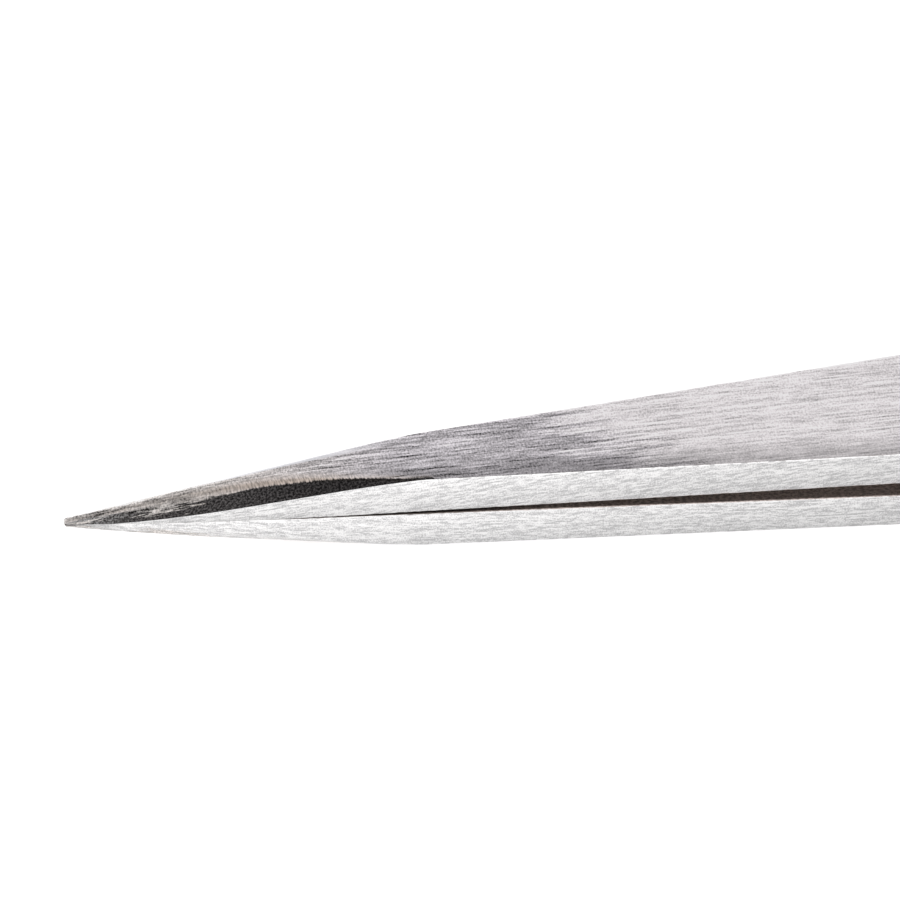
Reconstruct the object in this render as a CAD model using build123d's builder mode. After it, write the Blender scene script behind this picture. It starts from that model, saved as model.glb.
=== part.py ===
from build123d import *
from math import atan, cos, radians, sin, tan
import os

# Pointed precision tweezers: two ground spring-steel arms, welded face to face at the tail
# and pressed shut, so that their points meet.
#
# One arm is drawn in the axes of the pair. X is the station, from the point to the tail,
# Y runs across the arm, and Z rises from the middle plane where the two arms meet. The pair
# leans by a fraction of a degree, so that the flat back of the lower arm lies on Z = 0.

# The blade, seen from its back
overall_length = 125.0
grip_width = 9.5
grip_length = 26.0
point_taper = 4.76             # degrees, each side to the centre line
fine_point_length = 9.5        # the last stretch, drawn in a little faster
fine_point_width = 2.1
tip_width = 0.34
tip_corner_radius = 0.1
tail_width = 5.0
tail_corner_radius = 1.5
shoulder_radius = 120.0
fine_point_radius = 200.0

# The blade, seen from its edge
back_height_at_tip = 1.60      # where the line of the back crosses the tip's station
back_rise = 0.4144             # degrees, away from the middle plane towards the tail
contact_length = 10.3          # the points meet over this length
gap_rise = 0.7768              # degrees, of the inner face behind the contact
weld_length = 15.0
bow_length = 30.0              # from the end of the straight spring to the weld
tail_thickness = 1.2

# The hand-ground point
tip_thickness = 0.15
tip_rise = 11.3                # degrees, of the falling back at the tip
ridge_length = 10.7            # the back falls to the tip over this length
facet_length = 14.4            # from the tip to the pointed end of a side facet
facet_undercut = 0.03          # the facet starts this far under the inner face at the tip
facet_runout = 4.6             # degrees, of the facet's lower edge where it leaves the blade
facet_angle = 51.0             # degrees from the back, over most of the facet
tip_facet_angle = 78.0         # degrees from the back, at the very tip
facet_twist_length = 12.0      # the facet turns from one angle to the other over this length
ridge_radius = 0.35            # soft edge between a facet and the back
ridge_share = 0.85             # most of the back's half width that this edge may take
ridge_end_angle = 8.0          # degrees, at which the soft edge runs out on the back

# What the grinding takes away reaches this far past the finished faces
overcut = 0.5
cut_sections = 12              # even steps of the ground surface along the point

# Worked out from the sizes above
taper_slope = tan(radians(point_taper))
back_slope = tan(radians(back_rise))
gap_slope = tan(radians(gap_rise))
shoulder_station = fine_point_length + (grip_width - fine_point_width) / 2 / taper_slope
grip_end_station = shoulder_station + grip_length
weld_station = overall_length - weld_length
bow_station = weld_station - bow_length


def back_height(station):
    """Height of the flat back over the middle plane."""
    return back_height_at_tip + back_slope * station


def gap_height(station):
    """Height of the inner face over the middle plane, behind the contact."""
    return gap_slope * (station - contact_length)


def half_width(station):
    """Half the blade's width, over the tapered point."""
    if station < fine_point_length:
        return (tip_width + (fine_point_width - tip_width) * station / fine_point_length) / 2
    return fine_point_width / 2 + taper_slope * (station - fine_point_length)


def tangent_cubic(length, start, start_slope, end, end_slope):
    """The four even control points of a cubic with the given ends and slopes."""
    third = length / 3
    return (
        (0, start),
        (third, start + third * start_slope),
        (2 * third, end - third * end_slope),
        (length, end),
    )


def height_on(cubic, station):
    """Height of such a cubic, and of its end tangents beyond its ends."""
    start, after_start, before_end, end = cubic
    part = station / end[0]
    if part < 0:
        return start[1] + (after_start[1] - start[1]) * 3 * part
    if part > 1:
        return end[1] + (end[1] - before_end[1]) * 3 * (part - 1)
    left = 1 - part
    return (
        left**3 * start[1]
        + 3 * left**2 * part * after_start[1]
        + 3 * left * part**2 * before_end[1]
        + part**3 * end[1]
    )


ridge = tangent_cubic(
    ridge_length, tip_thickness, tan(radians(tip_rise)), back_height(ridge_length), back_slope
)
facet_foot = tangent_cubic(
    facet_length, -facet_undercut, 0, back_height(facet_length), tan(radians(facet_runout))
)


def facet_slope(station):
    """Tangent of the facet's angle to the back, steeper towards the tip."""
    part = min(1.0, max(0.0, station / facet_twist_length))
    turned = part**2 * (3 - 2 * part)
    return tan(radians(tip_facet_angle + (facet_angle - tip_facet_angle) * turned))


# The soft edge has left the side of the blade here, so the grinding ends in the air
soft_edge_depth = ridge_radius * tan(radians(facet_angle) / 2) * tan(radians(facet_angle))
cut_end_station = facet_length + 1.1 * soft_edge_depth / (tan(radians(facet_runout)) - back_slope)

# The pair's own axes: the lower arm's back is flat on Z = 0, and X is centred on the pair
lean = radians(back_rise)
tail_overhang = tail_thickness * sin(lean)
pair_middle = (overall_length * cos(lean) + tail_overhang) / 2
pair = Plane(
    origin=(-pair_middle, 0, back_height_at_tip * cos(lean)),
    x_dir=(cos(lean), 0, sin(lean)),
    z_dir=(-sin(lean), 0, cos(lean)),
)
edge_view = Plane(origin=pair.origin, x_dir=pair.x_dir, z_dir=-pair.y_dir)


def cross_section_plane(station):
    """Plane square to the blade at a station, with its X across the blade."""
    origin = pair.from_local_coords(Vector(station, 0, 0))
    return Plane(origin=origin, x_dir=pair.y_dir, z_dir=pair.x_dir)


def ground_off_section(station):
    """What the wheel takes off one side: outside a facet and the soft edge over it."""
    slope = facet_slope(station)
    angle = atan(slope)
    end_angle = radians(ridge_end_angle)
    top = height_on(ridge, station)
    corner = half_width(station) - (top - height_on(facet_foot, station)) / slope
    radius = min(ridge_radius, ridge_share * corner / tan(angle / 2))
    centre_y = corner - radius * tan(angle / 2)
    centre_z = top - radius

    def on_soft_edge(turn):
        return centre_y + radius * sin(turn), centre_z + radius * cos(turn)

    facet_top = on_soft_edge(angle)
    edge_end = on_soft_edge(end_angle)
    run = radius * sin(end_angle)
    over_back = (edge_end[0] - run, edge_end[1] + run * tan(end_angle))
    foot = (facet_top[0] + (facet_top[1] + overcut) / slope, -overcut)
    with BuildSketch(cross_section_plane(station)) as section:
        with BuildLine():
            Line(foot, facet_top)
            ThreePointArc(facet_top, on_soft_edge((angle + end_angle) / 2), edge_end)
            Line(edge_end, over_back)
            Line(over_back, (over_back[0], top + overcut))
            Line((over_back[0], top + overcut), (foot[0] + overcut, top + overcut))
            Line((foot[0] + overcut, top + overcut), foot)
        make_face()
    return section.sketch


with BuildPart() as ground_off:
    step = (cut_end_station + overcut) / cut_sections
    loft([ground_off_section(number * step - overcut) for number in range(cut_sections + 1)])

with BuildPart() as upper_arm:
    # Seen from its edge: the falling ridge, the flat back, the bow and the flat tail, and the
    # inner face with its contact at the point, its straight gap and the weld
    blank_half_width = grip_width / 2 + overcut
    with BuildSketch(edge_view.offset(-blank_half_width)):
        with BuildLine():
            bow = (bow_station, back_height(bow_station))
            tail = (overall_length, tail_thickness)
            inner_bow = (bow_station, gap_height(bow_station))
            Bezier(ridge)
            Line(ridge[-1], bow)
            Spline(bow, (weld_station, tail_thickness), tangents=[(1, back_slope), (1, 0)])
            Line((weld_station, tail_thickness), tail)
            Line(tail, (overall_length, 0))
            Line((overall_length, 0), (weld_station, 0))
            Spline((weld_station, 0), inner_bow, tangents=[(-1, 0), (-1, -gap_slope)])
            Line(inner_bow, (contact_length, 0))
            Line((contact_length, 0), (0, 0))
            Line((0, 0), ridge[0])
        make_face()
    extrude(amount=2 * blank_half_width)

    # Seen from its back: the tapered point, the grip and the narrower tail
    with BuildSketch(pair):
        with BuildLine():
            side = (
                (overall_length, tail_width / 2),
                (grip_end_station, grip_width / 2),
                (shoulder_station, grip_width / 2),
                (fine_point_length, fine_point_width / 2),
                (0, tip_width / 2),
            )
            radii = (
                tail_corner_radius,
                shoulder_radius,
                shoulder_radius,
                fine_point_radius,
                tip_corner_radius,
            )
            other_side = [(x, -y) for x, y in reversed(side)]
            FilletPolyline(side, other_side, radius=radii + radii[::-1], close=True)
        make_face()
    extrude(amount=overall_length, both=True, mode=Mode.INTERSECT)

    # The two side facets of the point
    add(ground_off.part, mode=Mode.SUBTRACT)
    mirror(ground_off.part, about=edge_view, mode=Mode.SUBTRACT)
upper_arm.part.label = "upper_arm"

with BuildPart() as lower_arm:
    mirror(upper_arm.part, about=pair)
lower_arm.part.label = "lower_arm"

os.makedirs("parts", exist_ok=True)
export_step(upper_arm.part, "parts/upper_arm.step")
export_step(lower_arm.part, "parts/lower_arm.step")
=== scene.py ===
"""Pointed precision tweezers: two ground steel arms, hand-ground at their points.

Lengths are metres. An arm is worked out in the axes of the pair: the station runs from the
tip to the tail, Y runs across the arm, and the height is counted from the middle plane where
the two arms meet. The last step leans the pair and lays the lower arm's back on the floor.
"""

import math
from functools import partial

import bpy
import numpy as np
from bpy.props import FloatProperty, FloatVectorProperty, PointerProperty
from bpy.types import Operator, Panel, PropertyGroup
from mathutils import Matrix, Vector


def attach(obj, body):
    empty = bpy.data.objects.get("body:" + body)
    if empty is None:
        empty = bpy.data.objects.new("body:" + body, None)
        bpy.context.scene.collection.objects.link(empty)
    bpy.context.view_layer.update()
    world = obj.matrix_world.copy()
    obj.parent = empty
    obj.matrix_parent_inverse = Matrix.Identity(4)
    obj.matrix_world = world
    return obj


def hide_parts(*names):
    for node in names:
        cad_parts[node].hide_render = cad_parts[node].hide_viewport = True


bl_info = {
    "name": "Pointed precision tweezers",
    "version": (1, 0, 0),
    "blender": (4, 5, 0),
    "location": "3D View > Sidebar > Tweezers",
    "description": "Two ground steel arms with hand-ground points, on a pale studio floor",
    "category": "Object",
}

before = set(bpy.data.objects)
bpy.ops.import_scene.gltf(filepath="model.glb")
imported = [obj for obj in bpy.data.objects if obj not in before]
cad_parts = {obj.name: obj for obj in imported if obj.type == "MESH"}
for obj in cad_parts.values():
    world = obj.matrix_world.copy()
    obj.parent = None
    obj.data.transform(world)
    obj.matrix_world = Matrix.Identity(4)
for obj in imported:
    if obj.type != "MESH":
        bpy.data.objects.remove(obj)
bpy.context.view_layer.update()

MM = 0.001

# Arcs of the blade's outline
FINE_POINT_RADIUS = 200 * MM
SHOULDER_RADIUS = 120 * MM

# How deep a full scratch is, and how far apart the tones of neighbouring scratches are taken
# from their noise, in its cells
SCRATCH_DEPTH = 0.012 * MM
CRISP_STEP = 2.63


def linear(hex_colour):
    """The linear colour of an sRGB hex value such as "D8D6D9"."""
    parts = [int(hex_colour[i : i + 2], 16) / 255 for i in (0, 2, 4)]
    return tuple(((c + 0.055) / 1.055) ** 2.4 if c > 0.04045 else c / 12.92 for c in parts)


class BladeSizes(PropertyGroup):
    """The blade of one arm, as it is before its point is ground."""

    overall_length: FloatProperty(
        name="Overall length",
        description="From the tips to the end of the tail",
        default=125.0 * MM,
        unit="LENGTH",
    )
    grip_width: FloatProperty(
        name="Grip width", description="Widest part", default=9.5 * MM, unit="LENGTH"
    )
    grip_length: FloatProperty(
        name="Grip length", description="Parallel stretch", default=26.0 * MM, unit="LENGTH"
    )
    point_taper: FloatProperty(
        name="Point taper",
        description="Each side of the point to the centre line",
        default=math.radians(4.76),
        subtype="ANGLE",
    )
    fine_point_length: FloatProperty(
        name="Fine point length",
        description="Last stretch, drawn in a little faster",
        default=9.5 * MM,
        unit="LENGTH",
    )
    fine_point_width: FloatProperty(
        name="Fine point width",
        description="Width where the fine point starts",
        default=2.1 * MM,
        unit="LENGTH",
    )
    tip_width: FloatProperty(
        name="Tip width", description="Width at the very tip", default=0.34 * MM, unit="LENGTH"
    )
    tail_width: FloatProperty(
        name="Tail width", description="Width at the tail", default=5.0 * MM, unit="LENGTH"
    )
    tail_corner: FloatProperty(
        name="Tail corner", description="Radius of its corners", default=1.5 * MM, unit="LENGTH"
    )
    back_height: FloatProperty(
        name="Back height",
        description="Line of the back over the middle plane, at the tip's station",
        default=1.60 * MM,
        unit="LENGTH",
    )
    back_rise: FloatProperty(
        name="Back rise",
        description="Angle of the back to the middle plane",
        default=math.radians(0.4144),
        subtype="ANGLE",
    )
    gap_rise: FloatProperty(
        name="Gap rise",
        description="Angle of the inner face to the middle plane",
        default=math.radians(0.7768),
        subtype="ANGLE",
    )
    contact_length: FloatProperty(
        name="Contact length",
        description="The points meet over this length",
        default=10.3 * MM,
        unit="LENGTH",
    )
    weld_length: FloatProperty(
        name="Weld length", description="Flat of the tail", default=15.0 * MM, unit="LENGTH"
    )
    bow_length: FloatProperty(
        name="Bow length",
        description="From the straight spring to the weld",
        default=30.0 * MM,
        unit="LENGTH",
    )
    tail_thickness: FloatProperty(
        name="Tail thickness", description="Of one arm", default=1.2 * MM, unit="LENGTH"
    )


class PointSizes(PropertyGroup):
    """The hand-ground point."""

    tip_thickness: FloatProperty(
        name="Tip thickness", description="Of one arm", default=0.15 * MM, unit="LENGTH"
    )
    tip_rise: FloatProperty(
        name="Tip rise",
        description="Angle of the falling back at the tip",
        default=math.radians(11.3),
        subtype="ANGLE",
    )
    ridge_length: FloatProperty(
        name="Ridge length",
        description="The back falls to the tip over this length",
        default=10.7 * MM,
        unit="LENGTH",
    )
    lower_ridge_length: FloatProperty(
        name="Lower ridge length",
        description="The same for the lower arm, which was ground back further",
        default=15.2 * MM,
        unit="LENGTH",
    )
    facet_length: FloatProperty(
        name="Facet length",
        description="From the tip to the pointed end of a side facet",
        default=14.4 * MM,
        unit="LENGTH",
    )
    facet_undercut: FloatProperty(
        name="Facet undercut",
        description="The facet starts this far under the inner face",
        default=0.03 * MM,
        unit="LENGTH",
    )
    facet_runout: FloatProperty(
        name="Facet run-out",
        description="Angle of the facet's lower edge where it leaves the blade",
        default=math.radians(4.6),
        subtype="ANGLE",
    )
    facet_angle: FloatProperty(
        name="Facet angle",
        description="From the back, over most of the facet",
        default=math.radians(51.0),
        subtype="ANGLE",
    )
    tip_facet_angle: FloatProperty(
        name="Facet angle at the tip",
        description="From the back, at the very tip",
        default=math.radians(78.0),
        subtype="ANGLE",
    )
    twist_length: FloatProperty(
        name="Twist length",
        description="The facet turns from one angle to the other over this length",
        default=12.0 * MM,
        unit="LENGTH",
    )
    ridge_radius: FloatProperty(
        name="Ridge radius",
        description="Soft edge between a facet and the back",
        default=0.35 * MM,
        unit="LENGTH",
    )
    set_over: FloatProperty(
        name="Set over",
        description="How far the tips stand to one side",
        default=0.2 * MM,
        unit="LENGTH",
    )


def colour_property(name, description, hex_colour):
    """A colour that a user may change, with its sRGB hex default."""
    return FloatVectorProperty(
        name=name, description=description, default=linear(hex_colour), subtype="COLOR"
    )


class SteelColours(PropertyGroup):
    """Tones of the bare steel, by how each face was worked."""

    back: colour_property("Back", "Belt-brushed back", "F0EDEE")
    worked_back: colour_property("Worked back", "The back where the point was worked", "CDCACE")
    tip: colour_property("Tip", "The worked back near the tip", "EFEAE6")
    # Painted highlight of the soft edge over a facet
    soft_edge_highlight: colour_property("Soft edge", "Rubbed bright over a facet", "E6DCD5")
    # Painted highlight: a line of light on the far soft edge
    far_edge_highlight: colour_property("Far edge", "Line of light on the far soft edge", "ECEDF1")
    # Painted dark reflection on the upper arm's facets
    facet: colour_property("Facet", "Dark facet of the upper arm", "413F3F")
    side_light: colour_property("Side", "Wheel-ground side between its scratches", "FDFDFD")
    side_dark: colour_property("Side scratches", "Its deepest scratches", "C4C4C5")
    inner_light: colour_property("Inner face", "Between its scratches", "E4DAD5")
    inner_dark: colour_property("Inner face scratches", "Its deepest scratches", "B4ABA7")
    # Painted shade in the gap where the arms close up
    painted_gap_shade: colour_property("Oil film", "Where the inner faces close up", "655E5A")


class StageSettings(PropertyGroup):
    """Camera, light and floor."""

    azimuth: FloatProperty(
        name="Azimuth",
        description="Camera angle round the object",
        default=math.radians(-8.57),
        subtype="ANGLE",
    )
    elevation: FloatProperty(
        name="Elevation",
        description="Camera angle over the horizon",
        default=math.radians(40.0),
        subtype="ANGLE",
    )
    distance: FloatProperty(
        name="Distance", description="From the camera to the points", default=1.0, unit="LENGTH"
    )
    frame_width: FloatProperty(
        name="Frame width",
        description="What the picture takes in at the object",
        default=36.0 * MM,
        unit="LENGTH",
    )
    floor_colour: colour_property("Floor colour", "Pale studio floor", "DADADA")
    wall_colour: colour_property("Wall colour", "Upper wall of the studio", "E8E6E8")
    ceiling_colour: colour_property("Ceiling colour", "Warm grey ceiling", "CCC6C1")


def smooth(part):
    """Smooth step: 3 t squared less 2 t cubed, with t held between 0 and 1."""
    t = np.clip(part, 0.0, 1.0)
    return t * t * (3 - 2 * t)


def hermite(x, length, start, start_slope, end, end_slope):
    """Cubic with the given ends and slopes, carried on by its end tangents outside them."""
    t = np.clip(x / length, 0.0, 1.0)
    inside = (
        (1 + 2 * t) * (1 - t) ** 2 * start
        + t * (1 - t) ** 2 * length * start_slope
        + t * t * (3 - 2 * t) * end
        - t * t * (1 - t) * length * end_slope
    )
    return inside + np.minimum(x, 0.0) * start_slope + np.maximum(x - length, 0.0) * end_slope


def filleted(x, corners, radii):
    """Height at x of a line through corners, with an arc of the given radius at each inner one.

    Each arc is tangent to both lines. It starts radius times tan of half the turn before its
    corner, and its height there is found from its circle: centre less or plus the square root
    of radius squared less the distance from the centre squared.
    """
    knots = np.array(corners)
    y = np.interp(x, knots[:, 0], knots[:, 1])
    for before, corner, after, radius in zip(knots, knots[1:], knots[2:], radii):
        a_in = math.atan2(*(corner - before)[::-1])
        a_out = math.atan2(*(after - corner)[::-1])
        reach = radius * math.tan(abs(a_out - a_in) / 2)
        side = math.copysign(1.0, a_out - a_in)
        start = corner - reach * np.array((math.cos(a_in), math.sin(a_in)))
        centre = start + side * radius * np.array((-math.sin(a_in), math.cos(a_in)))
        end_x = corner[0] + reach * math.cos(a_out)
        on_arc = (x > start[0]) & (x < end_x)
        drop = np.sqrt(np.maximum(radius**2 - (x - centre[0]) ** 2, 0.0))
        y = np.where(on_arc, centre[1] - side * drop, y)
    return y


def wander(x, spacing, seed):
    """Smooth random value between -1 and 1 along x: seeded knots, joined by smooth steps."""
    count = 4096
    knots = np.random.default_rng(seed).uniform(-1, 1, count)
    place = x / spacing
    cell = np.floor(place).astype(int)
    part = smooth(place - cell)
    return knots[cell % count] * (1 - part) + knots[(cell + 1) % count] * part


def wander_2d(u, v, seed):
    """Smooth random value between -1 and 1 over u and v: a seeded lattice, smoothly joined."""
    count = 256
    lattice = np.random.default_rng(seed).uniform(-1, 1, (count, count))
    iu, iv = np.floor(u).astype(int), np.floor(v).astype(int)
    pu, pv = smooth(u - iu), smooth(v - iv)
    left, right, below, above = iu % count, (iu + 1) % count, iv % count, (iv + 1) % count
    low = lattice[left, below] * (1 - pu) + lattice[right, below] * pu
    high = lattice[left, above] * (1 - pu) + lattice[right, above] * pu
    return low * (1 - pv) + high * pv


def stations(blade):
    """Stations along the arm: close at the tip and the worked point, open along the grip."""
    tail = blade.overall_length
    corner = blade.tail_corner
    steps = (
        (0.0, 0.15 * MM, 8),
        (0.15 * MM, 17.0 * MM, 337),
        (17.0 * MM, 36.0 * MM, 271),
        (36.0 * MM, tail - corner, 84),
    )
    runs = [np.linspace(a, b, n, endpoint=False) for a, b, n in steps]
    turn = np.linspace(0, math.pi / 2, 14)
    runs.append(tail - corner + corner * np.sin(turn))
    return np.concatenate(runs)


def blade_lines(x, blade, point, ridge_length):
    """Half width, inner height, top height, facet foot and facet angle at the stations x.

    The outline is a line with arcs, and the heights are straight stretches joined by cubics.
    """
    taper = math.tan(blade.point_taper)
    shoulder = blade.fine_point_length + (blade.grip_width - blade.fine_point_width) / 2 / taper
    grip_end = shoulder + blade.grip_length
    outline = (
        (0.0, blade.tip_width / 2),
        (blade.fine_point_length, blade.fine_point_width / 2),
        (shoulder, blade.grip_width / 2),
        (grip_end, blade.grip_width / 2),
        (blade.overall_length, blade.tail_width / 2),
    )
    half = filleted(x, outline, (FINE_POINT_RADIUS, SHOULDER_RADIUS, SHOULDER_RADIUS))
    past = np.clip((x - (blade.overall_length - blade.tail_corner)) / blade.tail_corner, 0, 1)
    half = half - blade.tail_corner * (1 - np.sqrt(1 - past**2))
    weld = blade.overall_length - blade.weld_length
    bow = weld - blade.bow_length
    back_slope, gap_slope = math.tan(blade.back_rise), math.tan(blade.gap_rise)
    back_line = blade.back_height + back_slope * x
    ridge_end = blade.back_height + back_slope * ridge_length
    bow_top = blade.back_height + back_slope * bow
    bow_gap = gap_slope * (bow - blade.contact_length)
    falling = hermite(
        x, ridge_length, point.tip_thickness, math.tan(point.tip_rise), ridge_end, back_slope
    )
    top = np.where(x < ridge_length, falling, back_line)
    rear = hermite(x - bow, blade.bow_length, bow_top, back_slope, blade.tail_thickness, 0.0)
    # The grip's back lies a hair lower, so that its highest line stays inside the CAD box
    hair = 0.002 * MM * smooth((x - 60 * MM) / (10 * MM))
    top = np.where(x > bow, rear, top) - hair
    inner = np.maximum(0.0, gap_slope * (x - blade.contact_length))
    inner = np.where(x > bow, hermite(x - bow, blade.bow_length, bow_gap, gap_slope, 0, 0), inner)
    facet_end = blade.back_height + back_slope * point.facet_length
    foot = hermite(
        x, point.facet_length, -point.facet_undercut, 0.0, facet_end, math.tan(point.facet_runout)
    )
    turned = smooth(x / point.twist_length)
    angle = point.tip_facet_angle + (point.facet_angle - point.tip_facet_angle) * turned
    return half, inner, top, foot, angle


def flat_run(start, end, count):
    """Points from start to end, closer together at both ends, end point left out."""
    part = (1 - np.cos(np.linspace(0, math.pi, count + 1)[:-1])) / 2
    return [a[:, None] * (1 - part) + b[:, None] * part for a, b in zip(start, end)]


def round_run(centre, radius, start, end, count):
    """Points on an arc about centre, by the angle of its normal from straight up."""
    part = np.linspace(0, 1, count + 1)[:-1]
    turn = start[:, None] * (1 - part) + end[:, None] * part
    return [
        centre[0][:, None] + radius[:, None] * np.sin(turn),
        centre[1][:, None] + radius[:, None] * np.cos(turn),
    ]


# Zones of the section, in the order in which half of it is walked from the inner face up
INNER, INNER_EDGE, SIDE, FOOT_EDGE, FACET, SOFT_EDGE, BACK = range(7)
ZONE_COUNTS = (8, 3, 12, 3, 14, 8, 14)


def half_section(x, blade, point, ridge_length, wear, seed):
    """One half of the section at each station, from the middle of the inner face to the
    middle of the back: a flat, a small arc, the side, a small arc, the facet, the soft edge's
    arc and half the back. Past the facet's end a fine broken edge takes its place. Wear is the
    radius of the inner edges in millimetres, behind the contact of the points."""
    half, inner, top, foot, angle = blade_lines(x, blade, point, ridge_length)
    # Both ends are rounded over, the tip by a flatter curve
    end_round, tip_depth = 0.12 * MM, 0.08 * MM
    left = np.clip(1 - x / end_round, 0, 1)
    inset = tip_depth * (1 - np.sqrt(1 - left**2))
    near_end = np.clip((x - (blade.overall_length - end_round)) / end_round, 0, 1)
    inset = inset + end_round * (1 - np.sqrt(1 - near_end**2))
    half, top, inner = half - inset, top - inset, inner + 0.4 * inset
    # Fine chips of the upper edge, and nicks of the inner one
    ragged = wander(x, 0.11 * MM, seed) + 0.8 * wander(x, 0.45 * MM, seed + 1)
    chip = (0.005 + 0.012 * np.maximum(ragged, 0)) * MM
    chip = np.minimum(chip, 0.3 * (top - inner))
    # The inner edges are sharp along the contact, worn behind it, and round at the very tip
    opened = smooth((x - 7.5 * MM) / (2.5 * MM))
    parted = 1 - smooth((x - 0.2 * MM) / (0.8 * MM))
    nicks = np.maximum(wander(x, 0.16 * MM, seed + 2), 0)
    inner_round = (0.002 + (wear + 0.022 * nicks) * opened + 0.035 * parted) * MM
    inner_round = np.minimum(inner_round, 0.25 * (top - inner))
    foot_round = np.minimum(0.012 * MM, 0.1 * (top - inner))
    lowest = inner + inner_round + foot_round + 0.004 * MM
    foot = np.clip(foot, lowest, top - chip)
    slope = np.tan(angle)
    corner = half - (top - foot) / slope
    facet_run = (top - foot) / np.sin(angle) - foot_round * np.tan((math.pi / 2 - angle) / 2)
    half_turn = np.tan(angle / 2)
    ridge_radius = point.ridge_radius * (1 - 0.65 * smooth((x - 8.5 * MM) / (4 * MM)))
    radius = np.minimum(ridge_radius, 0.85 * np.maximum(corner, 0.01 * MM) / half_turn)
    radius = np.minimum(radius, 0.92 * facet_run / half_turn)
    quarter = np.full_like(x, math.pi / 2)
    straight_up = np.zeros_like(x)
    edge_centre = (half - inner_round, inner + inner_round)
    foot_centre = (half - foot_round, foot - foot_round * np.tan((quarter - angle) / 2))
    soft_centre = (corner - radius * half_turn, top - radius)
    side_low = (half, edge_centre[1])
    side_high = (half, foot_centre[1])
    facet_low = [
        foot_centre[0] + foot_round * np.sin(angle),
        foot_centre[1] + foot_round * np.cos(angle),
    ]
    facet_high = [
        soft_centre[0] + radius * np.sin(angle),
        soft_centre[1] + radius * np.cos(angle),
    ]
    n = ZONE_COUNTS
    runs = (
        flat_run((straight_up, inner), (edge_centre[0], inner), n[INNER]),
        round_run(edge_centre, inner_round, 2 * quarter, quarter, n[INNER_EDGE]),
        flat_run(side_low, side_high, n[SIDE]),
        round_run(foot_centre, foot_round, quarter, angle, n[FOOT_EDGE]),
        flat_run(facet_low, facet_high, n[FACET]),
        round_run(soft_centre, radius, angle, straight_up, n[SOFT_EDGE]),
        flat_run((soft_centre[0], top), (straight_up, top), n[BACK]),
    )
    y = np.concatenate([run[0] for run in runs] + [straight_up[:, None]], axis=1)
    z = np.concatenate([run[1] for run in runs] + [top[:, None]], axis=1)
    # The wheel leaves the side a little fuller in its middle
    tall = (top - inner)[:, None]
    from_middle = np.clip(2 * (z - inner[:, None]) / tall - 1, -1, 1)
    y = y - np.minimum(0.006 * tall, 0.01 * MM) * from_middle**2 * (y / half[:, None])
    return y, z, (half, inner, top)


def arm_grid(blade, point, ridge_length, wear, seed):
    """Grid of section points along the stations, with the zone of each strip between them."""
    x = stations(blade)
    near_y, near_z, _ = half_section(x, blade, point, ridge_length, wear, seed)
    far_y, far_z, (half, inner, top) = half_section(
        x, blade, point, ridge_length, wear, seed + 7
    )
    # Far half upwards, then the near half back down; both end points belong to the far half
    y = np.concatenate([far_y, -near_y[:, -2:0:-1]], axis=1)
    z = np.concatenate([far_z, near_z[:, -2:0:-1]], axis=1)
    strips = np.repeat(np.arange(7), ZONE_COUNTS)
    zone = np.concatenate([strips, strips[::-1]])
    along = np.repeat(x[:, None], y.shape[1], axis=1)
    half, inner, top = half[:, None], inner[:, None], top[:, None]
    # The belt takes a little more off the back's two long edges
    band = 0.9 * MM
    rolled = np.clip((np.abs(y) - (half - band)) / band, 0, 1) ** 2
    share = np.clip((z - inner) / (top - inner), 0, 1)
    belt = smooth((along - 12 * MM) / (8 * MM)) * smooth((125 * MM - along) / (2 * MM))
    z = z - 0.004 * MM * rolled * share * belt
    return along, y, z, zone, half, inner, top


def add_hand_work(along, y, z, inner, top, seed):
    """File and stone marks of the point: low ridges that run along it and fade by 10 mm."""
    share = smooth((z - inner) / np.maximum(top - inner, 1e-9) * 2 - 0.6)
    # Ridges 0.05 to 0.08 mm wide, a slow unevenness under them and pits at the tip
    fade = 1 - smooth((along - 3 * MM) / (7 * MM))
    u, v = along / MM, y / MM
    marks = wander_2d(u * 1.1 + v * 0.6, v * 13 + u * 1.4, seed)
    marks = marks + 0.6 * wander_2d(u * 3.1 - v, v * 22 - u * 2.2, seed + 1)
    slow = wander_2d(u * 0.35, v * 1.3, seed + 2)
    grow = np.clip(along / (0.8 * MM), 0, 1)
    lift = (0.006 * marks * fade + 0.012 * slow * fade) * MM * share * grow
    pits = wander_2d(u * 9, v * 9 + z / MM * 9, seed + 3) * (1 - smooth((along - 0.6 * MM) / MM))
    return z + lift + 0.012 * MM * pits * share


def place_pair(blade, along, y, z, side):
    """Turns station, across and height into the frame's X, Y and Z: the pair leans by the
    back's rise, so that the lower back lies level, and is centred along its length."""
    lean = blade.back_rise
    middle = (blade.overall_length * math.cos(lean) + blade.tail_thickness * math.sin(lean)) / 2
    height = side * z
    return (
        along * math.cos(lean) - height * math.sin(lean) - middle,
        y,
        along * math.sin(lean) + height * math.cos(lean) + blade.back_height * math.cos(lean),
    )


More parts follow.
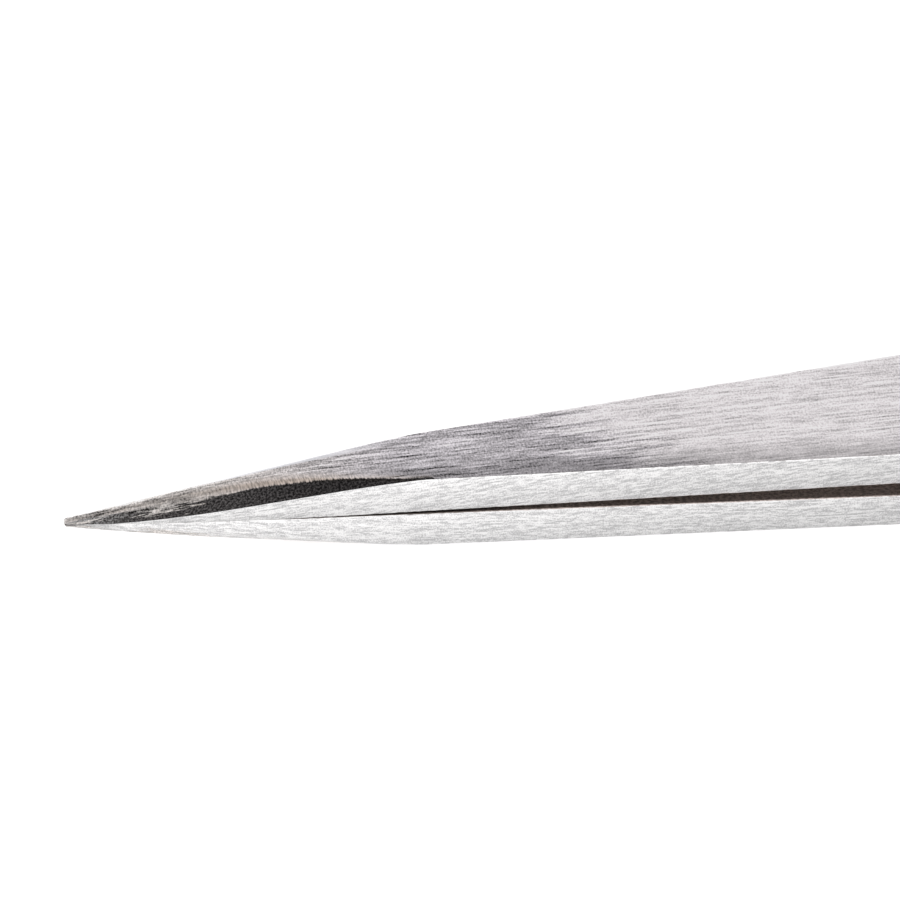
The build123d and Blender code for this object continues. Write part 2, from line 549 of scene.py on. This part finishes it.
def build_arm(name, side, seed, ridge_length, wear, blade, point):
    """One arm as a closed tube of quads with a fan at each end, and the marks that its
    finishes read."""
    along, y, z, zone, half, inner, top = arm_grid(blade, point, ridge_length, wear, seed)
    rows, columns = y.shape
    z = add_hand_work(along, y, z, inner, top, seed + 20)
    around = np.hypot(np.diff(y, axis=1), np.diff(z, axis=1)).cumsum(axis=1)
    around = np.concatenate([np.zeros((rows, 1)), around], axis=1)
    crown = columns // 2
    from_crown = around - around[:, crown : crown + 1]
    set_over = point.set_over * np.clip(1 - along / (8 * MM), 0, 1) ** 2
    sections = np.stack(place_pair(blade, along, y + set_over, z, side), axis=-1)
    ends = sections[[0, -1]].mean(axis=1)
    vertices = np.concatenate([sections.reshape(-1, 3), ends])
    index = np.arange(rows * columns).reshape(rows, columns)
    ahead = np.roll(index, -1, axis=1)
    quads = np.stack([index[:-1], index[1:], ahead[1:], ahead[:-1]], axis=-1).reshape(-1, 4)
    first = np.stack([index[0], ahead[0], np.full(columns, rows * columns)], axis=-1)
    last = np.stack([ahead[-1], index[-1], np.full(columns, rows * columns + 1)], axis=-1)
    if side < 0:
        quads, first, last = quads[:, ::-1], first[:, ::-1], last[:, ::-1]
    mesh = bpy.data.meshes.new(name)
    mesh.from_pydata(vertices.tolist(), [], quads.tolist() + first.tolist() + last.tolist())
    mesh.polygons.foreach_set("use_smooth", np.ones(len(mesh.polygons), dtype=bool))
    strip_zone = np.concatenate([np.tile(zone, rows - 1), np.full(2 * columns, SIDE)])
    slot_of_zone = np.array([2, 2, 1, 1, 0, 0, 0])  # in FINISHES
    mesh.polygons.foreach_set("material_index", slot_of_zone[strip_zone])
    # Grain, in millimetres: along the arm, round its section from the crown, and across the
    # wheel's scratches, which climb on the upper side and sink towards the lower arm's tip
    caps = np.zeros(2)
    length = np.append(along.ravel(), [along[0, 0], along[-1, 0]]) / MM
    sinking = np.maximum(20 - along / MM, 0) ** 2
    climb = -0.13 * along / MM if side > 0 else -0.0043 * sinking
    grain = np.stack(
        [
            length,
            np.append(from_crown.ravel(), caps) / MM,
            np.append((side * z / MM + climb).ravel(), caps),
        ],
        axis=-1,
    )
    # Share of the side's height, from its lower edge up
    share = np.clip((z - inner) / (top - inner), 0, 1)
    share = np.append((share if side > 0 else 1 - share).ravel(), caps + 0.5)
    soft = np.flatnonzero(zone == SOFT_EDGE)
    from_far, from_near = around - around[:, soft[:1]], around[:, soft[-1:] + 1] - around
    no_facet = 2.0 * smooth((along - point.facet_length - 0.2 * MM) / MM)
    from_facet = np.minimum(from_far, from_near) / MM + no_facet
    from_facet = np.append(from_facet.ravel(), caps)
    upper_face = zone >= FOOT_EDGE
    side_top = np.where(upper_face, -1.0, z).max(axis=1, keepdims=True)
    edge_gap = np.where(upper_face, half - np.abs(y), side_top - z)
    edge_gap = np.append(edge_gap.ravel(), caps) / MM
    # The upper arm's facets get a painted dark reflection, the lower arm's only at its very tip,
    # which is a guess for the facets that the photograph hides. The same mark sets how strongly
    # the point's file strokes and scores show
    gouging_and_dark_reflection = np.ones_like(length) if side > 0 else 0.6 * (1 - smooth((length - 0.5) / 2.5))
    for key, kind, field, values in (
        ("grain", "FLOAT_VECTOR", "vector", grain),
        ("from_facet", "FLOAT", "value", from_facet),
        ("gouging_and_dark_reflection", "FLOAT", "value", gouging_and_dark_reflection),
        ("edge_gap", "FLOAT", "value", edge_gap),
        ("side_share", "FLOAT", "value", share),
    ):
        mesh.attributes.new(key, kind, "POINT").data.foreach_set(field, values.ravel())
    mesh.update()
    arm = bpy.data.objects.new(name, mesh)
    bpy.context.scene.collection.objects.link(arm)
    return arm


def add_node(tree, kind, inputs=(), output=0, **settings):
    """Adds a node and sets it up. Its inputs, in order or by name, are numbers, colours or
    other nodes' sockets. Gives back the chosen output socket."""
    node = tree.nodes.new("ShaderNode" + kind)
    for key, value in settings.items():
        setattr(node, key, value)
    for key, value in inputs.items() if isinstance(inputs, dict) else enumerate(inputs):
        if isinstance(value, bpy.types.NodeSocket):
            tree.links.new(value, node.inputs[key])
        elif node.inputs[key].type == "RGBA":
            node.inputs[key].default_value = (*value, 1.0)
        else:
            node.inputs[key].default_value = value
    return node.outputs[output] if node.outputs else None


def new_material(name):
    """An empty node material, and add_node bound to its tree."""
    material = bpy.data.materials.new(name)
    material.use_nodes = True
    material.node_tree.nodes.clear()
    return material, partial(add_node, material.node_tree)


# Settings that many nodes share: a smooth step from one range to another, and a mix of colours
EASED = {"interpolation_type": "SMOOTHSTEP"}
COLOURS = {"data_type": "RGBA", "output": 2}
WHITE = (1.0, 1.0, 1.0)


def streaks(node, vector, per_mm, turn=0.0, detail=2.0, seed=0.0, crisp=False):
    """Noise drawn out along the arm: per_mm gives its frequency along and across the grain.
    Crisp streaks are single scratches side by side, per_mm[1] of them to a millimetre, each
    with a tone of its own that only changes along it."""
    along, across = per_mm
    place = node(
        "Mapping",
        {"Vector": vector, "Rotation": (0.0, 0.0, turn), "Location": (seed, seed * 0.7, 0.0)},
    )
    if crisp:
        place = node("VectorMath", (place, (0.0001, 1.0 / across, 1.0)), operation="SNAP")
        across *= CRISP_STEP
    place = node("VectorMath", (place, (along, across, 1.0)), operation="MULTIPLY")
    return node(
        "TexNoise",
        {"Vector": place, "Scale": 1.0, "Detail": detail, "Roughness": 0.6},
        noise_dimensions="2D",
    )


def blend(node, parts):
    """Weighted sum of sockets."""
    total = 0.0
    for socket, weight in parts:
        part = node("Math", (socket, weight), operation="MULTIPLY")
        total = node("Math", (total, part), operation="ADD")
    return total


def product(node, total, *others):
    """Sockets and numbers times each other."""
    for other in others:
        total = node("Math", (total, other), operation="MULTIPLY")
    return total


def steel_surface(node, colour, roughness, height, depth):
    """Bare steel with its pattern pressed into it, depth in metres."""
    bump = node("Bump", {"Strength": 1.0, "Distance": depth, "Height": height})
    steel = node(
        "BsdfPrincipled",
        {"Base Color": colour, "Metallic": 1.0, "Roughness": roughness, "Normal": bump},
    )
    node("OutputMaterial", {"Surface": steel})


def read_grain(node):
    """The mesh's grain mark and its three parts, all in millimetres: the station, the way
    round from the crown, and the place across the wheel's scratches."""
    grain = node("Attribute", output="Vector", attribute_name="grain")
    return grain, *node("SeparateXYZ", (grain,)).node.outputs


def wheel_marks(node, steel, vector, station):
    """Colour and height of the bright wheel-ground finish: fine short scratches that lie close
    together over an even grain. Painted shade darkens it low on a side, and it is darker away
    from the point."""
    # Drawn 0.06 to 0.07 mm wide, fitted to the photograph's texture. Real ones are probably
    # finer, and wouldn't show where a pixel is 0.04 mm
    hair = streaks(node, vector, (0.8, 14.0), detail=1.0, crisp=True)
    short = streaks(node, vector, (2.4, 17.0), detail=1.0, seed=17.0, crisp=True)
    broad = streaks(node, vector, (0.4, 4.0), detail=2.0, seed=7.0)
    specks = streaks(node, vector, (16.0, 14.0), detail=1.0, seed=23.0)
    marks = blend(node, ((hair, 0.3), (short, 0.34), (broad, 0.04), (specks, 0.32)))
    level = node("MapRange", (marks, 0.36, 0.62, 0.0, 1.0), **EASED)
    colour = node("Mix", {0: level, 6: steel.side_dark, 7: steel.side_light}, **COLOURS)
    share = node("Attribute", output="Fac", attribute_name="side_share")
    # Painted shade: each side is darker towards its lower edge, and darker still at its foot
    rise = node("MapRange", (share, 0.0, 1.0, 0.85, 1.0), **EASED)
    foot = node("MapRange", (share, 0.0, 0.22, 0.1, 0.0), **EASED)
    rise = node("Math", (rise, foot), operation="SUBTRACT")
    darker_from_point = node("MapRange", (station, 10.0, 34.0, 1.0, 0.84), **EASED)
    light = product(node, rise, darker_from_point)
    return node("VectorMath", {0: colour, "Scale": light}, operation="SCALE"), marks


def brushed_back_steel(name, steel):
    """Stainless spring steel, brushed along the arm on a belt: fine parallel scratches, each a
    hair wide and a millimetre or two long, over a satin grey. They are deeper and darker where
    the point was worked. Its hand-ground facets have an even grit, and the upper arm's are
    painted dark as a painted dark reflection."""
    material, node = new_material(name)
    grain, station, around, _ = read_grain(node)
    edge = node("Attribute", output="Fac", attribute_name="edge_gap")
    from_facet = node("Attribute", output="Fac", attribute_name="from_facet")
    gouging_and_dark_reflection_mask = node("Attribute", output="Fac", attribute_name="gouging_and_dark_reflection")
    # Drawn 0.07 to 0.09 mm wide, fitted to the photograph's texture. Real ones are probably
    # finer, and wouldn't show where a pixel is 0.04 mm
    fine = streaks(node, grain, (0.4, 12.0), detail=1.0, crisp=True)
    broad = streaks(node, grain, (0.2, 3.0), detail=2.0, seed=13.0)
    flecks = streaks(node, grain, (1.6, 15.0), detail=1.0, seed=29.0, crisp=True)
    specks = streaks(node, grain, (13.0, 9.0), detail=1.0, seed=37.0)
    lines = streaks(node, grain, (0.3, 11.0), detail=1.0, seed=71.0, crisp=True)
    scratches = blend(node, ((fine, 0.3), (broad, 0.1), (flecks, 0.25), (specks, 0.35)))
    # The belt's clean finish starts behind a ragged slanting line, some 22 mm from the tip
    ragged = blend(node, ((station, 1.0), (around, -0.87), (broad, 5.0), (fine, 3.0)))
    clean = node("MapRange", (ragged, 24.0, 28.0, 0.0, 1.0), **EASED)
    contrast = node("Math", (clean, -2.1, 4.5), operation="MULTIPLY_ADD")
    centred = node("Math", (scratches, 0.5), operation="SUBTRACT")
    level = node("Math", (centred, contrast, 1.0), operation="MULTIPLY_ADD")
    thin_dark = node("MapRange", (lines, 0.57, 0.66, 0.0, -0.07), **EASED)
    thin_light = node("MapRange", (lines, 0.34, 0.42, 0.05, 0.0), **EASED)
    thin = node("Math", (thin_dark, thin_light), operation="ADD")
    level = node("Math", (thin, contrast, level), operation="MULTIPLY_ADD")
    tone = node("Mix", {0: clean, 6: steel.worked_back, 7: steel.back}, **COLOURS)
    warm = node("MapRange", (station, 5.0, 14.0, 1.0, 0.0), **EASED)
    tone = node("Mix", {0: warm, 6: tone, 7: steel.tip}, **COLOURS)
    rubbed = product(
        node,
        node("MapRange", (ragged, 20.5, 24.0, 0.0, 0.15), **EASED),
        node("MapRange", (ragged, 24.0, 26.0, 1.0, 0.0), **EASED),
    )
    # Painted shade darkens the back along its near edge, and a thin line of painted highlight
    # lies along the far one
    near_side = node("MapRange", (around, -0.1, 0.1, 0.0, 1.0), **EASED)
    far_side = node("Math", (1.0, near_side), operation="SUBTRACT")
    near_edge_shade = node("MapRange", (edge, 0.0, 1.7, 0.38, 0.0), **EASED)
    painted_far_glint = node("MapRange", (edge, 0.04, 0.12, 0.25, 0.0), **EASED)
    lit = node("Math", (product(node, painted_far_glint, far_side), 1.0), operation="ADD")
    lit = node("Math", (lit, product(node, near_edge_shade, near_side)), operation="SUBTRACT")
    lit = node("Math", (lit, rubbed), operation="SUBTRACT")
    tone = node("VectorMath", {0: tone, "Scale": lit}, operation="SCALE")
    # File strokes and deep scores of the point run along it and over its soft edge, and fade
    # out by 9 mm from the tip
    along_point = math.radians(-2)
    strokes = streaks(node, grain, (0.5, 7.0), turn=along_point, detail=3.0, seed=41.0)
    scores = streaks(node, grain, (0.4, 9.0), turn=along_point, detail=1.0, seed=83.0, crisp=True)
    near_tip = node("MapRange", (station, 4.5, 9.0, 1.0, 0.0), **EASED)
    stroked = node("MapRange", (strokes, 0.56, 0.66, 0.0, 0.35), **EASED)
    scored = node("MapRange", (scores, 0.56, 0.64, 0.0, 0.6), **EASED)
    gouge = product(
        node,
        node("Math", (stroked, scored), operation="ADD"),
        product(node, near_tip, gouging_and_dark_reflection_mask),
        node("MapRange", (around, -0.15, 0.15, 0.3, 1.0), **EASED),
    )
    level = node("Math", (level, gouge), operation="SUBTRACT")
    back = node("VectorMath", {0: tone, "Scale": level}, operation="SCALE")
    # The soft edge over a facet carries a painted highlight, broken up by real short strokes
    # across it
    across = streaks(node, grain, (13.0, 3.2), turn=math.radians(12), detail=1.0, seed=53.0)
    bright = product(
        node,
        node("MapRange", (across, 0.32, 0.68, 0.6, 1.2), **EASED),
        node("MapRange", (station, 7.0, 10.0, 0.85, 1.0), **EASED),
    )
    band = node("VectorMath", {0: steel.soft_edge_highlight, "Scale": bright}, operation="SCALE")
    reach = node("Math", (station, 0.06, from_facet), operation="MULTIPLY_ADD")
    in_highlight_band = product(
        node,
        node("MapRange", (reach, 0.75, 1.25, 1.0, 0.0), **EASED),
        node("MapRange", (station, 4.0, 8.0, 0.0, 0.9), **EASED),
        node("MapRange", (station, 13.0, 16.5, 1.0, 0.0), **EASED),
        node("MapRange", (around, 0.0, 0.1, 0.0, 1.0), **EASED),
    )
    back = node("Mix", {0: in_highlight_band, 6: back, 7: band}, **COLOURS)
    # The far soft edge gets a thin line of painted highlight too, with a painted shade beside it
    far_highlight_line = product(
        node,
        node("MapRange", (from_facet, 0.3, 0.38, 1.0, 0.0), **EASED),
        node("MapRange", (around, -0.1, 0.0, 1.0, 0.0), **EASED),
        node("MapRange", (station, 10.5, 14.0, 1.0, 0.0), **EASED),
        node("MapRange", (station, 4.0, 7.0, 0.0, 0.85), **EASED),
    )
    shade = product(
        node,
        node("MapRange", (from_facet, 0.36, 0.46, 0.0, 1.0), **EASED),
        node("MapRange", (from_facet, 0.46, 0.62, 1.0, 0.0), **EASED),
        node("MapRange", (around, -0.1, 0.0, 0.35, 0.0), **EASED),
        node("MapRange", (station, 2.0, 5.0, 0.0, 1.0), **EASED),
    )
    unshaded = node("Math", (1.0, shade), operation="SUBTRACT")
    back = node("VectorMath", {0: back, "Scale": unshaded}, operation="SCALE")
    back = node("Mix", {0: far_highlight_line, 6: back, 7: steel.far_edge_highlight}, **COLOURS)
    # Facets: fine even grit, painted dark on the upper arm as a painted dark reflection. That the
    # dark is tarnish, and no reflection, is a guess. The grit is drawn 0.08 mm across to show
    grit = streaks(node, grain, (11.0, 13.0), detail=2.0, seed=5.0)
    grit_level = product(
        node,
        node("MapRange", (grit, 0.34, 0.72, 0.25, 2.3), **EASED),
        node("MapRange", (station, 6.0, 11.0, 1.0, 0.62), **EASED),
    )
    dark = node("VectorMath", {0: steel.facet, "Scale": grit_level}, operation="SCALE")
    light, _ = wheel_marks(node, steel, grain, station)
    # Near the tip the dark is broken up in patches
    patches = blend(node, ((station, 1.0), (strokes, 9.0), (specks, 5.0)))
    kept = node("MapRange", (patches, 4.8, 8.8, 0.5, 1.0), **EASED)
    facet = node("Mix", {0: product(node, gouging_and_dark_reflection_mask, kept), 6: light, 7: dark}, **COLOURS)
    # A facet's upper boundary: slanting strokes near the tip, then the band's short strokes.
    # Further back it lies a little higher on the near side and lower on the far one
    slanted = product(
        node,
        node("Math", (strokes, 0.42), operation="SUBTRACT"),
        node("MapRange", (station, 4.5, 8.0, 2.0, 0.0), **EASED),
    )
    furry = node("Math", (across, 0.12, -0.14), operation="MULTIPLY_ADD")
    risen = product(
        node,
        node("Math", (near_side, -0.2, 0.13), operation="MULTIPLY_ADD"),
        node("MapRange", (station, 9.0, 12.0, 0.0, 1.0), **EASED),
    )
    boundary = blend(node, ((from_facet, 1.0), (slanted, 1.0), (furry, 1.0), (risen, 1.0)))
    over = node("MapRange", (boundary, -0.04, 0.04, 0.0, 1.0), **EASED)
    colour = node("Mix", {0: over, 6: facet, 7: back}, **COLOURS)
    # The scratches go three times as deep at the tip
    height = blend(node, ((scratches, 1.0), (grit, 0.3)))
    height = node("Math", (height, gouge), operation="SUBTRACT")
    deeper = node("Math", (near_tip, 2.0, 1.0), operation="MULTIPLY_ADD")
    steel_surface(node, colour, 0.3, product(node, height, deeper), SCRATCH_DEPTH)
    return material


def ground_side_steel(name, steel):
    """The same steel, its narrow sides ground bright on a fine wheel. Along the side's upper
    edge, where the wheel leaves a thin broken burr, a broken line of painted highlight lies in
    the colour."""
    material, node = new_material(name)
    grain, station, _, across = read_grain(node)
    upright = node("CombineXYZ", (station, across))
    colour, marks = wheel_marks(node, steel, upright, station)
    share = node("Attribute", output="Fac", attribute_name="side_share")
    from_top = node("Math", (1.0, share), operation="SUBTRACT")
    broken = streaks(node, grain, (3.0, 1.0), detail=2.0, seed=61.0)
    # Painted highlight: a broken white line along the side's upper edge
    painted_edge_glint = product(
        node,
        node("MapRange", (from_top, 0.02, 0.07, 1.0, 0.0), **EASED),
        node("MapRange", (broken, 0.38, 0.5, 0.0, 1.0), **EASED),
    )
    colour = node("Mix", {0: painted_edge_glint, 6: colour, 7: WHITE}, **COLOURS)
    steel_surface(node, colour, 0.35, marks, SCRATCH_DEPTH)
    return material


def inner_face_steel(name, steel):
    """The same steel as it left the surface grinder on the hidden inner faces: dull, and painted
    a dark brown-grey where the arms close up, as painted shade in the narrow gap."""
    material, node = new_material(name)
    grain, station, _, _ = read_grain(node)
    # The photograph hides these faces, so the marks' width, 0.11 mm, is a guess
    fine = streaks(node, grain, (6.0, 9.0), detail=2.0)
    level = node("MapRange", (fine, 0.35, 0.65, 0.0, 1.0), **EASED)
    colour = node("Mix", {0: level, 6: steel.inner_dark, 7: steel.inner_light}, **COLOURS)
    # Painted shade: the inner faces are darker where the arms close up
    opened = node("MapRange", (station, 12.0, 20.0, 0.0, 1.0), **EASED)
    colour = node("Mix", {0: opened, 6: steel.painted_gap_shade, 7: colour}, **COLOURS)
    steel_surface(node, colour, 0.45, fine, 0.008 * MM)
    return material


# An arm's finishes, in the order of its material slots
FINISHES = {
    "belt-brushed spring steel": brushed_back_steel,
    "wheel-ground steel side": ground_side_steel,
    "surface-ground inner face": inner_face_steel,
}


def dress(arm, steel, node):
    """Gives the arm its three finishes and ties it to the part's frame."""
    for name, maker in FINISHES.items():
        arm.data.materials.append(bpy.data.materials.get(name) or maker(name, steel))
    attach(arm, "root")
    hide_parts(node)


class TWEEZERS_OT_arms(Operator):
    """Make both arms of the tweezers"""

    bl_idname = "tweezers.arms"
    bl_label = "Both arms"

    def execute(self, context):
        blade, point = context.scene.tweezers_blade, context.scene.tweezers_point
        steel = context.scene.tweezers_steel
        # The lower arm's point was ground back further, and its inner edges are more worn
        for name, side, seed, ridge_length, wear, node in (
            ("upper_blade", 1.0, 11, point.ridge_length, 0.012, "upper_arm"),
            ("lower_blade", -1.0, 31, point.lower_ridge_length, 0.032, "lower_arm"),
        ):
            arm = build_arm(name, side, seed, ridge_length, wear, blade, point)
            dress(arm, steel, node)
        return {"FINISHED"}


def floor_material(stage):
    """Matt white studio floor. The camera and reflections see some light of its own as well,
    so that it reads as white. That light is strong enough to hide the object's shadow."""
    material, node = new_material("matt white studio floor")
    path = node("LightPath").node.outputs
    seen = node("Math", (path["Is Camera Ray"], path["Is Glossy Ray"]), operation="MAXIMUM")
    seen = node("Math", (seen, path["Is Transmission Ray"]), operation="MAXIMUM")
    matt = node(
        "BsdfPrincipled",
        {"Base Color": stage.floor_colour, "Roughness": 1.0, "Specular IOR Level": 0.0},
    )
    glow = node("Emission", {"Color": WHITE, "Strength": product(node, seen, 0.66)})
    node("OutputMaterial", {"Surface": node("AddShader", (matt, glow))})
    return material


def studio_world(stage):
    """A pale studio all round: white low walls, paler grey above and a warm grey ceiling."""
    world = bpy.data.worlds.new("pale studio")
    world.use_nodes = True
    world.node_tree.nodes.clear()
    node = partial(add_node, world.node_tree)
    look = node("TexCoord", output="Generated")
    height = node("SeparateXYZ", (look,), output="Z")
    upper_wall = node("MapRange", (height, 0.2, 0.6, 0.0, 1.0), **EASED)
    room = node("Mix", {0: upper_wall, 6: WHITE, 7: stage.wall_colour}, **COLOURS)
    ceiling = node("MapRange", (height, 0.66, 0.93, 0.0, 1.0), **EASED)
    room = node("Mix", {0: ceiling, 6: room, 7: stage.ceiling_colour}, **COLOURS)
    camera_ray = node("LightPath", output="Is Camera Ray")
    seen = node("Mix", {0: camera_ray, 6: room, 7: WHITE}, **COLOURS)
    light = node("Background", {"Color": seen, "Strength": 1.0})
    node("OutputWorld", {"Surface": light})
    return world


def add_camera(stage, blade):
    """Long lens at the photograph's angle. The middle plane's tip stands at tip_pixel of the
    frame, so the view's centre lies that far to the right of it and above it."""
    tip_pixel, frame_pixels = (65.0, 525.7), 900.0
    sensor_width = 36.0
    a, e = stage.azimuth, stage.elevation
    back = Vector((math.sin(a) * math.cos(e), -math.cos(a) * math.cos(e), math.sin(e)))
    right = Vector((math.cos(a), math.sin(a), 0.0))
    up = back.cross(right)
    per_pixel = stage.frame_width / frame_pixels
    tip = Vector(place_pair(blade, 0.0, 0.0, 0.0, 1.0))
    shift_right = (frame_pixels / 2 - tip_pixel[0]) * per_pixel
    shift_up = (tip_pixel[1] - frame_pixels / 2) * per_pixel
    target = tip + right * shift_right + up * shift_up
    camera = bpy.data.objects.new("camera", bpy.data.cameras.new("camera"))
    camera.data.type = "PERSP"
    camera.data.sensor_width = sensor_width
    camera.data.lens = sensor_width * stage.distance / stage.frame_width
    camera.data.clip_start, camera.data.clip_end = 0.01, 100.0
    turn = Matrix((right, up, back)).transposed().to_4x4()
    camera.matrix_world = Matrix.Translation(target + back * stage.distance) @ turn
    bpy.context.scene.collection.objects.link(camera)
    bpy.context.scene.camera = camera


def add_floor(stage):
    """Square of floor, just under the lower arm's back."""
    reach, below = 3.0, 0.01 * MM
    mesh = bpy.data.meshes.new("floor")
    square = ((-1, -1), (1, -1), (1, 1), (-1, 1))
    corners = [(x * reach, y * reach, -below) for x, y in square]
    mesh.from_pydata(corners, [], [(0, 1, 2, 3)])
    mesh.materials.append(floor_material(stage))
    floor = bpy.data.objects.new("floor", mesh)
    bpy.context.scene.collection.objects.link(floor)


class TWEEZERS_OT_stage(Operator):
    """Make the floor, the studio light and the camera"""

    bl_idname = "tweezers.stage"
    bl_label = "Studio"

    def execute(self, context):
        stage, blade = context.scene.tweezers_stage, context.scene.tweezers_blade
        context.scene.view_settings.view_transform = "Standard"
        context.scene.world = studio_world(stage)
        add_floor(stage)
        add_camera(stage, blade)
        return {"FINISHED"}


class TWEEZERS_PT_panel(Panel):
    """Lists the tweezers' operators"""

    bl_idname = "TWEEZERS_PT_panel"
    bl_label = "Tweezers"
    bl_space_type = "VIEW_3D"
    bl_region_type = "UI"
    bl_category = "Tweezers"

    def draw(self, context):
        for operator in OPERATORS:
            self.layout.operator(operator.bl_idname)


OPERATORS = (TWEEZERS_OT_arms, TWEEZERS_OT_stage)
GROUPS = (
    ("tweezers_blade", BladeSizes),
    ("tweezers_point", PointSizes),
    ("tweezers_steel", SteelColours),
    ("tweezers_stage", StageSettings),
)


def register():
    for name, group in GROUPS:
        bpy.utils.register_class(group)
        setattr(bpy.types.Scene, name, PointerProperty(type=group))
    for operator in OPERATORS:
        bpy.utils.register_class(operator)
    bpy.utils.register_class(TWEEZERS_PT_panel)


def unregister():
    bpy.utils.unregister_class(TWEEZERS_PT_panel)
    for operator in reversed(OPERATORS):
        bpy.utils.unregister_class(operator)
    for name, group in reversed(GROUPS):
        delattr(bpy.types.Scene, name)
        bpy.utils.unregister_class(group)


def main():
    """Makes everything."""
    register()
    bpy.ops.tweezers.arms()
    bpy.ops.tweezers.stage()


if __name__ == "__main__":
    main()
